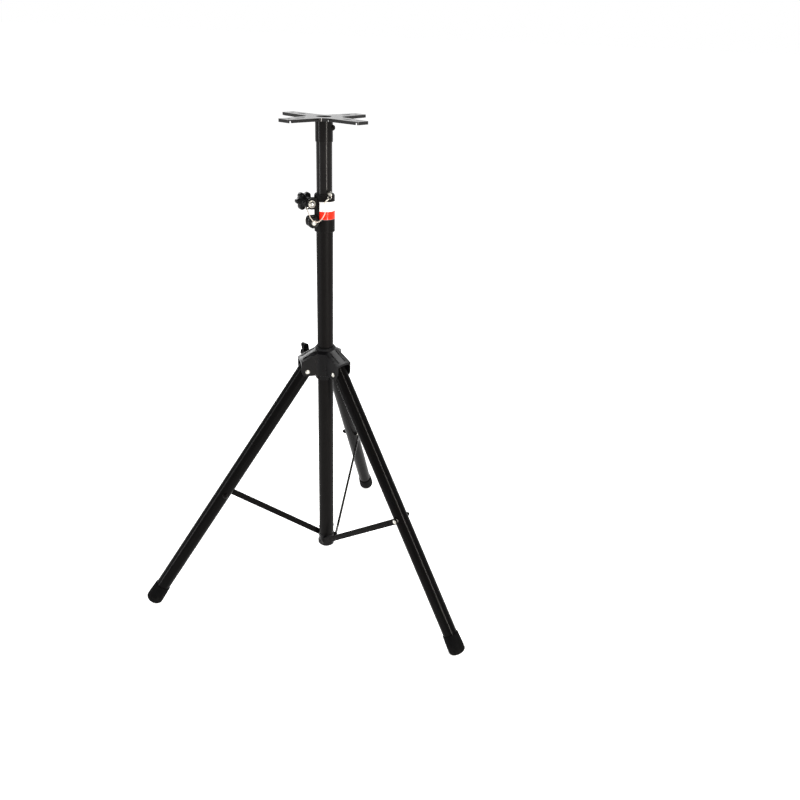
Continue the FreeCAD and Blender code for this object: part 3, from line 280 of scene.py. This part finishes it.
def coated_steel(name, turn=(0, 0, 0), scuffs=0.35, gloss=0.0, wear=0.5, painted_light_scale=1.0, smoothness=0.25):
    """Black paint on steel: orange peel, fine specks, scuffs along the piece and worn edges."""
    s = Surface(name, specular=0.05 * painted_light_scale, coat=gloss, coat_roughness=0.08)
    lengthwise = s.stretched((260, 260, 9), turn)
    scuff = s.ranged(s.noise(1.0, 3, 0.6, lengthwise), 0.62, 0.76, 0, scuffs)
    patches = s.noise(26, 3, 0.6)
    specks = s.ranged(s.cells(700), 0.10, 0.02)
    worn = s.maths("MULTIPLY", s.edge_mask(0.7 * MM), s.ranged(s.noise(310, 4, 0.7), 0.50, 0.62, 0, wear))
    # The brightness scale per part stands in for how light falls on it: above 1 it is painted light, below 1
    # painted shade.
    dark = (0.0022 * painted_light_scale, 0.0019 * painted_light_scale, 0.0018 * painted_light_scale)
    light = (0.0046 * painted_light_scale, 0.0041 * painted_light_scale, 0.0040 * painted_light_scale)
    colour = s.blend(patches, dark, light)
    colour = s.blend(s.maths("MULTIPLY", scuff, 0.25), colour, (0.034, 0.032, 0.030))
    colour = s.blend(s.maths("MULTIPLY", specks, 0.15), colour, (0.018, 0.018, 0.018))
    colour = s.blend(worn, colour, (0.090, 0.085, 0.080))
    sheen = s.ranged(patches, 0.3, 0.7, smoothness - 0.03, smoothness + 0.05)
    roughness = s.maths("ADD", sheen, s.maths("MULTIPLY", scuff, 0.25))
    peel = s.bump(s.noise(520, 2, 0.4), 0.012 * MM, 0.5, s.soft_edges(0.5 * MM))
    return s.finish(colour, roughness, s.bump(scuff, -0.01 * MM, 0.5, peel))


def moulded_plastic(name, base, grain, smooth, specular, edge_shade):
    """Injection-moulded black plastic: a fine even grain, cloudy gloss and rubbed edges."""
    s = Surface(name, specular=specular)
    cloud = s.noise(38, 4, 0.6)
    rubbed = s.maths("MULTIPLY", s.edge_mask(1.0 * MM), s.ranged(s.noise(190, 3, 0.6), 0.42, 0.60, 0, 0.6))
    darker = tuple(0.72 * part for part in base)
    colour = s.blend(cloud, darker, tuple(1.25 * part for part in base))
    colour = s.blend(rubbed, colour, edge_shade)
    scratches = s.ranged(s.noise(1.0, 2, 0.7, s.stretched((900, 40, 500), (0.4, 0.9, 0.2))), 0.66, 0.72)
    roughness = s.maths("ADD", s.ranged(cloud, 0.3, 0.7, smooth - 0.05, smooth + 0.06),
                        s.maths("MULTIPLY", scratches, 0.12))
    grained = s.bump(s.cells(grain), 0.03 * MM, 0.5, s.soft_edges(0.8 * MM))
    return s.finish(colour, roughness, s.bump(scratches, -0.01 * MM, 0.4, grained))


def foot_rubber():
    """Matt rubber with a sanded skin, dust near the floor and grey scrapes."""
    s = Surface("foot_rubber", specular=0.03)
    low = s.ranged(s.parts()[2], 0.034, 0.002)
    dust = s.maths("MULTIPLY", low, s.ranged(s.noise(140, 5, 0.65), 0.42, 0.72, 0, 0.5))
    scrape = s.ranged(s.noise(1.0, 4, 0.7, s.stretched((60, 240, 60), (0.7, 0.2, 0.5))), 0.66, 0.76, 0, 0.4)
    colour = s.blend(s.noise(60, 3, 0.6), (0.0014, 0.0014, 0.0015), (0.0032, 0.0032, 0.0033))
    colour = s.blend(dust, colour, (0.026, 0.025, 0.023))
    colour = s.blend(scrape, colour, (0.014, 0.014, 0.014))
    roughness = s.ranged(s.noise(90, 3, 0.6), 0.3, 0.7, 0.62, 0.80)
    skin = s.bump(s.noise(1500, 3, 0.7), 0.03 * MM, 0.6)
    return s.finish(colour, roughness, s.bump(scrape, -0.02 * MM, 0.5, skin))


def plated_steel():
    """Bright plated steel: soft turning marks, small stains and fine scratches."""
    s = Surface("plated_steel", metallic=1.0)
    shade = (0.50, 0.485, 0.44)
    stain = s.ranged(s.noise(160, 4, 0.7), 0.50, 0.72, 0, 0.5)
    darker = tuple(0.45 * part for part in shade)
    colour = s.blend(stain, shade, darker)
    fine = s.noise(1.0, 2, 0.5, s.stretched((2600, 2600, 500)))
    roughness = s.maths("ADD", s.ranged(fine, 0.35, 0.65, 0.17, 0.34), s.maths("MULTIPLY", stain, 0.2))
    return s.finish(colour, roughness, s.bump(fine, 0.008 * MM, 0.6, s.soft_edges(0.25 * MM)))


def turned_brass():
    s = Surface("turned_brass", metallic=1.0)
    tarnish = s.noise(120, 4, 0.7)
    colour = s.blend(tarnish, (0.62, 0.42, 0.16), (0.34, 0.22, 0.09))
    rings = s.noise(1.0, 1, 0.5, s.stretched((1500, 1500, 1500)))
    return s.finish(colour, s.ranged(tarnish, 0.3, 0.7, 0.25, 0.42), s.bump(rings, 0.01 * MM, 0.5))


def sticker(node):
    """Glossy vinyl: a plain white field above a plain red one, with a rubbed border."""
    s = Surface("sticker", specular=0.1, coat=0.08, coat_roughness=0.08)
    low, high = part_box(node)
    height = s.ranged(s.parts()[2], low.z, high.z)
    cloud = s.noise(60, 3, 0.6)
    white = s.blend(cloud, (0.80, 0.79, 0.78), (0.70, 0.69, 0.68))
    red = s.blend(cloud, (0.80, 0.022, 0.005), (0.66, 0.016, 0.004))
    colour = s.blend(s.maths("LESS_THAN", height, 0.46), white, red)
    from_middle = s.maths("ABSOLUTE", s.maths("SUBTRACT", height, 0.5))
    colour = s.blend(s.ranged(from_middle, 0.472, 0.482), colour, (0.12, 0.12, 0.12))
    scuffed = s.ranged(s.noise(230, 4, 0.7), 0.58, 0.70, 0, 0.5)
    colour = s.blend(s.maths("MULTIPLY", scuffed, 0.12), colour, (0.55, 0.50, 0.48))
    ripple = s.bump(s.noise(45, 2, 0.5), 0.05 * MM, 0.3)
    return s.finish(colour, s.ranged(scuffed, 0, 0.5, 0.22, 0.5), ripple)


def woven_cord():
    """Fawn nylon fibre, with fine filaments and a slight sheen."""
    s = Surface("woven_cord", roughness=0.55, specular=0.4)
    s.shader.inputs["Sheen Weight"].default_value = 0.35
    s.shader.inputs["Sheen Roughness"].default_value = 0.4
    fibre = s.noise(1.0, 3, 0.6, s.stretched((5200, 5200, 900), (0.6, 0.3, 0.2)))
    grime = s.noise(170, 3, 0.6)
    colour = s.blend(fibre, (0.36, 0.31, 0.26), (0.62, 0.56, 0.49))
    colour = s.blend(s.ranged(grime, 0.55, 0.75, 0, 0.5), colour, (0.20, 0.17, 0.14))
    return s.finish(colour, None, s.bump(fibre, 0.05 * MM, 0.6))


# ---------------------------------------------------------------- mesh helpers
def new_piece(name, points, faces, material, smooth_angle=35):
    mesh = bpy.data.meshes.new(name)
    mesh.from_pydata([tuple(point) for point in points], [], faces)
    mesh.materials.append(material)
    piece = bpy.data.objects.new(name, mesh)
    bpy.context.scene.collection.objects.link(piece)
    smooth(piece, smooth_angle)
    return piece


def smooth(piece, angle):
    """Smooth shading, with creases where faces meet at more than an angle."""
    mesh = piece.data
    mesh.polygons.foreach_set("use_smooth", [True] * len(mesh.polygons))
    mesh.set_sharp_from_angle(angle=math.radians(angle))


def loft(name, rings, material, ends=True, smooth_angle=35):
    """A skin over rings of equally many points, closed at both ends if asked."""
    count = len(rings[0])
    points = [point for ring in rings for point in ring]
    faces = []
    for r in range(len(rings) - 1):
        for k in range(count):
            ahead = (k + 1) % count
            faces.append((r * count + k, r * count + ahead, (r + 1) * count + ahead, (r + 1) * count + k))
    if ends:
        faces.append(tuple(reversed(range(count))))
        faces.append(tuple((len(rings) - 1) * count + k for k in range(count)))
    return new_piece(name, points, faces, material, smooth_angle)


def axes_for(direction):
    """Two directions that make a right-handed set with this one."""
    side = direction.cross(UP) if abs(direction.z) < 0.95 else direction.cross(Vector((1, 0, 0)))
    side.normalize()
    return side, direction.cross(side).normalized()


def around(origin, direction, height, radius_at, count):
    """A ring about an axis, whose radius is a number or a rule of the angle."""
    side, other = axes_for(direction)
    ring = []
    for k in range(count):
        angle = 2 * math.pi * k / count
        radius = radius_at(angle) if callable(radius_at) else radius_at
        ring.append(origin + direction * height + (side * math.cos(angle) + other * math.sin(angle)) * radius)
    return ring


def lathe(name, profile, origin, direction, material, count=96, smooth_angle=35):
    rings = [around(origin, direction, height, radius, count) for radius, height in profile]
    return loft(name, rings, material, smooth_angle=smooth_angle)


def tube_along(name, path, radius, material, sides=12):
    """A round tube through a fine list of points, with frames carried along it."""
    rings = []
    tangent = (path[1] - path[0]).normalized()
    side, _ = axes_for(tangent)
    for i, point in enumerate(path):
        ahead = path[min(i + 1, len(path) - 1)]
        behind = path[max(i - 1, 0)]
        tangent = (ahead - behind).normalized()
        side = (side - tangent * side.dot(tangent)).normalized()
        other = tangent.cross(side)
        ring = []
        for k in range(sides):
            angle = 2 * math.pi * k / sides
            ring.append(point + (side * math.cos(angle) + other * math.sin(angle)) * radius)
        rings.append(ring)
    return loft(name, rings, material)


# ---------------------------------------------------------------- pieces
def foot(side, rubber):
    """Rubber foot: a cup with a rolled rim, shallow grip rings and a ringed sole."""
    start, down = leg_line(side)
    node = f"{side}_foot_cap"
    top, end, radius = measure(node, start, down)
    tube_end, tube_r = measure(f"{side}_leg_tube", start, down)[1:]
    bore = tube_r + 0.05 * MM
    rim = radius - 1.2 * MM
    corner = 10 * MM
    roll = (rim - bore) / 2
    profile = [(bore, tube_end + 0.05 * MM)]
    for k in range(7):
        angle = math.pi * k / 6
        profile.append((bore + roll - roll * math.cos(angle), top + roll - roll * math.sin(angle)))
    side_length = end - corner - top - roll
    for k in range(1, 40):
        share = k / 39
        groove = 0.3 * MM if share > 0.62 and k % 5 == 0 else 0.0
        swell = (radius - rim) * min(1.0, share / 0.7)
        profile.append((rim + swell - groove, top + roll + share * side_length))
    for k in range(1, 11):
        angle = math.pi / 2 * k / 10
        profile.append((radius - corner + corner * math.cos(angle), end - corner + corner * math.sin(angle)))
    sole = radius - corner
    for k in range(1, 12):
        ridge = 0.5 * MM if k % 3 == 0 else 0.0
        profile.append((sole * (1 - k / 12), end - ridge))
    piece = lathe(f"{side}_foot", profile, start, down, rubber, 96, 50)
    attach(piece, f"{side}_leg")
    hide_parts(node)


def wing_stud_thread(steel):
    """The clamp screw with its thread, from inside the housing into the knob."""
    origin = pivot("wing_knob_turn")
    out = axis("wing_knob_turn")
    low, high, crest = measure("wing_stud", origin, out)
    threaded("wing_stud_thread", origin, out, low, high, crest, STUD_PITCH, steel, "wing_knob", "wing_stud")


def threaded(name, origin, direction, low, high, crest, pitch, material, body, node):
    """A screw with a helical thread between two distances along its axis."""
    depth = 0.55 * pitch
    steps = int((high - low) / pitch * 10)
    rings = []
    for i in range(steps + 1):
        height = low + (high - low) * i / steps

        def radius_at(angle):
            phase = ((height / pitch) - angle / (2 * math.pi)) % 1.0
            return crest - depth * abs(2 * phase - 1)

        def tapered(angle):
            return radius_at(angle) * (0.7 + 0.3 * taper)

        taper = min(1.0, (i + 2) / 8, (steps - i + 2) / 8)
        rings.append(around(origin, direction, height, tapered, 48))
    piece = loft(name, rings, material, smooth_angle=60)
    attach(piece, body)
    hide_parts(node)


def hollow_grip(name, origin, out, stations, rule, plastic, body, node):
    """A knob with a bore: its outline at each station is a rule of the angle."""
    rings = []
    for height, size, depth in stations:
        rings.append(around(origin, out, height, lambda angle: size - depth * rule(angle), 144))
    rings.append(rings[0])
    piece = loft(name, rings, plastic, ends=False, smooth_angle=50)
    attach(piece, body)
    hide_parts(node)


def star_grip(plastic):
    """Moulded six-lobed knob: a flared neck, round lobes and a dished face with a raised centre."""
    origin = pivot("star_knob_turn")
    out = axis("star_knob_turn")
    low, high, radius = measure("star_knob", origin, out)
    insert_end, insert_r = measure("star_knob_insert", origin, out)[1:]
    bore = insert_r + 0.02 * MM
    bore_end = insert_end + 0.02 * MM
    neck = 9 * MM
    shoulder = low + 13 * MM
    stations = [
        (bore_end, bore, 0), (low, bore, 0), (low, neck - 0.8 * MM, 0), (low + 0.6 * MM, neck, 0),
        (low + 6 * MM, neck, 0), (shoulder - 2.5 * MM, neck + 1.6 * MM, 0),
        (shoulder - 0.6 * MM, 0.72 * radius, 2.0 * MM), (shoulder + 0.6 * MM, 0.91 * radius, 4.8 * MM),
        (shoulder + 2.6 * MM, 0.99 * radius, 5.9 * MM), (shoulder + 6 * MM, radius, 6.1 * MM),
        (high - 4.6 * MM, radius, 6.1 * MM), (high - 2.6 * MM, 0.98 * radius, 5.9 * MM),
        (high - 1 * MM, 0.93 * radius, 5.5 * MM), (high - 0.2 * MM, 0.84 * radius, 4.6 * MM),
        (high, 0.75 * radius, 3.4 * MM), (high - 0.5 * MM, 0.62 * radius, 1.5 * MM),
        (high - 1.7 * MM, 0.53 * radius, 0), (high - 2 * MM, 0.46 * radius, 0),
        (high - 2 * MM, 0.37 * radius, 0), (high - 0.7 * MM, 0.34 * radius, 0),
        (high - 0.4 * MM, 0.30 * radius, 0),
        (high - 0.5 * MM, 0.02 * radius, 0), (bore_end, 0.02 * radius, 0),
    ]

    def between_lobes(angle):
        return 1 - (0.5 + 0.5 * math.cos(6 * angle)) ** 0.55

    hollow_grip("star_grip", origin, out, stations, between_lobes, plastic, "star_knob", "star_knob")


def round_grip(plastic):
    """Moulded round knob with fluted sides and a dished face round its screw."""
    origin = pivot("lower_knob_turn")
    out = axis("lower_knob_turn")
    low, high, radius = measure("lower_knob", origin, out)
    bore = LOWER_KNOB_BORE
    stations = [
        (low, bore, 0), (low, 0.55 * radius, 0), (low + 1.2 * MM, 0.70 * radius, 0),
        (low + 2.4 * MM, 0.93 * radius, 0.3 * MM), (low + 3.3 * MM, 0.985 * radius, 0.9 * MM),
        (low + 4.2 * MM, radius, 1.1 * MM), (high - 2.4 * MM, radius, 1.1 * MM),
        (high - 1.1 * MM, 0.97 * radius, 0.9 * MM), (high - 0.3 * MM, 0.91 * radius, 0.4 * MM),
        (high, 0.83 * radius, 0), (high - 0.4 * MM, 0.74 * radius, 0), (high - 0.8 * MM, 0.62 * radius, 0),
        (high - 0.3 * MM, 0.53 * radius, 0), (high, 0.47 * radius, 0), (high, bore, 0),
    ]

    def flutes(angle):
        return max(0.0, math.cos(12 * angle)) ** 3

    hollow_grip("round_grip", origin, out, stations, flutes, plastic, "lower_knob", "lower_knob")


def split_ring(steel):
    """Spring-steel ring of two close turns."""
    low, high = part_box("pin_ring")
    centre = (low + high) / 2
    normal = axis("lock_pin_pull")
    side, other = axes_for(normal)
    radius = (high.z - low.z) / 2 - 2 * RING_WIRE_R
    path = []
    for k in range(241):
        turns = RING_TURNS * k / 240
        angle = 2 * math.pi * turns
        jog = min(1.0, max(0.0, (turns - 0.92) / 0.1))
        shift = RING_WIRE_R * (2 * jog * jog * (3 - 2 * jog) - 1)
        path.append(centre + (side * math.cos(angle) + other * math.sin(angle)) * radius + normal * shift)
    piece = tube_along("split_ring", path, RING_WIRE_R, steel, 10)
    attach(piece, "lock_pin")
    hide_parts("pin_ring")


def weld_bead(coat):
    """Rippled weld bead where the socket meets its flange."""
    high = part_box("plate_socket")[1]
    flange_z = high.z - 2.5 * MM
    rings = []
    for k in range(360):
        angle = 2 * math.pi * k / 360
        size = BEAD_R + BEAD_RIPPLE * abs(math.sin(angle * 26))
        out = Vector((math.cos(angle), math.sin(angle), 0))
        ring = []
        for j in range(8):
            turn = 2 * math.pi * j / 8
            reach = BEAD_CENTRE_R + size * math.cos(turn)
            ring.append(out * reach + UP * (flange_z + size * math.sin(turn)))
        rings.append(ring)
    rings.append(rings[0])
    piece = loft("weld_bead", rings, coat, ends=False, smooth_angle=60)
    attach(piece, "top_plate")


# The lanyard's route, from the eyelet's barrel round under the lower knob and up to the pin's ring.
LANYARD_R = 1.1 * MM
LANYARD_ROUTE = [
    (-28.2, -39.9, 1013.4), (-22.7, -44.9, 1005.6), (-17.0, -48.8, 996.5), (-12.0, -47.6, 990.2),
    (-4.6, -43.2, 987.2), (1.8, -36.8, 990.2), (6.4, -31.4, 997.4), (10.6, -28.6, 1007.4),
    (11.3, -30.8, 1016.0), (8.5, -33.0, 1023.3), (9.5, -32.6, 1028.7), (12.1, -30.0, 1032.2),
]


def smooth_line(name, route):
    """Points along the NURBS curve whose control points are the route."""
    curve = bpy.data.curves.new(name, "CURVE")
    curve.dimensions = "3D"
    curve.resolution_u = 24
    spline = curve.splines.new("NURBS")
    spline.points.add(len(route) - 1)
    for point, place in zip(spline.points, route):
        point.co = (*place, 1)
    spline.order_u = 3
    spline.use_endpoint_u = True
    line = bpy.data.objects.new(name, curve)
    mesh = bpy.data.meshes.new_from_object(line)
    points = [vertex.co.copy() for vertex in mesh.vertices]
    bpy.data.objects.remove(line)
    return points


def lanyard(fibre):
    """Three twisted strands along the route."""
    path = smooth_line("lanyard_line", [Vector(point) * MM for point in LANYARD_ROUTE])
    strand_r = 0.54 * LANYARD_R
    offset = LANYARD_R - strand_r
    lengths = [0.0]
    for first, second in zip(path, path[1:]):
        lengths.append(lengths[-1] + (second - first).length)
    points = []
    faces = []
    for strand in range(3):
        side, _ = axes_for((path[1] - path[0]).normalized())
        centres = []
        for i, point in enumerate(path):
            tangent = (path[min(i + 1, len(path) - 1)] - path[max(i - 1, 0)]).normalized()
            side = (side - tangent * side.dot(tangent)).normalized()
            other = tangent.cross(side)
            angle = 2 * math.pi * (lengths[i] / STRAND_PITCH + strand / 3)
            centres.append(point + (side * math.cos(angle) + other * math.sin(angle)) * offset)
        piece = tube_along(f"strand_{strand}", centres, strand_r, fibre, 10)
        base = len(points)
        points += [vertex.co.copy() for vertex in piece.data.vertices]
        faces += [tuple(base + k for k in polygon.vertices) for polygon in piece.data.polygons]
        bpy.data.objects.remove(piece)
    cord = new_piece("lanyard", points, faces, fibre, 60)
    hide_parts("lanyard_cord")
    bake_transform(cord)


# ---------------------------------------------------------------- finishes on the CAD pieces
def give(material, *nodes, angle=30):
    for node in nodes:
        piece = NODES[node]
        piece.data.materials.clear()
        piece.data.materials.append(material)
        smooth(piece, angle)


def turn_to(direction):
    """The turn that brings the texture's Z axis along a direction."""
    return direction.to_track_quat("Z", "Y").to_euler()


def finish_frame(steel, housing_plastic, nylon):
    give(coated_steel("mast_coat", scuffs=0.30, smoothness=0.45), "outer_tube", "clamp_collar")
    # The inner mast and socket get brighter copies of the same black: painted light.
    give(coated_steel("inner_mast_coat", scuffs=0.70, gloss=0.09, painted_light_scale=1.4), "inner_tube")
    give(coated_steel("socket_coat", scuffs=0.25, gloss=0.06, painted_light_scale=1.2), "plate_socket")
    give(coated_steel("plate_coat", (0, math.pi / 2, 0), scuffs=0.30, gloss=0.6), "mount_plate")
    give(housing_plastic, "leg_housing", "bottom_hub")
    give(nylon, "guide_bush", "housing_bush", "clamp_pad", "inner_slider", "inner_top_plug")
    give(steel, "upper_clamp_bolt", "clamp_washers", "lower_clamp_nut", "lanyard_eyelet",
         "lanyard_ferrule", "lower_clamp_screw", "lock_pin", "leg_pivot_rivets")
    # Black coat for the fasteners; on the strut nuts it is painted shade, since they are bright steel lying
    # in shadow.
    black_and_shade_coat = coated_steel("black_and_painted_shade_fastener", scuffs=0.2, wear=1.0)
    give(black_and_shade_coat, "hub_screws", "socket_screw")
    give(turned_brass(), "star_knob_insert")
    give(sticker("collar_label"), "collar_label")
    for side in SIDES:
        down = leg_line(side)[1]
        # The legs and struts get darker copies of the same black: painted shade.
        give(coated_steel(f"{side}_leg_coat", turn_to(down), scuffs=0.35, gloss=0.05, painted_light_scale=0.4),
             f"{side}_leg_tube")
        bar_low, bar_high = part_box(f"{side}_strut_bar")
        reach = pivot(f"{side}_strut_fold") - (bar_low + bar_high) / 2
        strut_coat = coated_steel(f"{side}_strut_coat", turn_to(reach.normalized()), scuffs=0.35,
                                  wear=0.8, painted_light_scale=0.7)
        give(strut_coat, f"{side}_strut_bar")
        give(nylon, f"{side}_leg_plug")
        give(steel, f"{side}_strut_bolt", f"{side}_strut_spacer")
        # The strut nuts take the black coat as painted shade: they are bright steel in shadow.
        give(black_and_shade_coat, f"{side}_strut_nut", f"{side}_strut_hub_rivet")


make_camera()
make_studio()
make_floor()

plated = plated_steel()
knob_plastic = moulded_plastic("knob_plastic", (0.0026, 0.0026, 0.0028), 900, 0.30, 0.10,
                               (0.022, 0.022, 0.024))
housing_plastic = moulded_plastic("housing_plastic", (0.0022, 0.0021, 0.0024), 1300, 0.30, 0.10,
                                  (0.040, 0.038, 0.042))
bush_nylon = moulded_plastic("bush_nylon", (0.0045, 0.0045, 0.0050), 1500, 0.45, 0.10,
                             (0.030, 0.030, 0.031))
finish_frame(plated, housing_plastic, bush_nylon)
give(knob_plastic, "wing_knob")
rubber = foot_rubber()
for side in SIDES:
    foot(side, rubber)
wing_stud_thread(plated)
star_grip(knob_plastic)
round_grip(knob_plastic)
split_ring(plated)
weld_bead(coated_steel("weld_coat", scuffs=0.1))
lanyard(woven_cord())

bpy.context.view_layer.update()
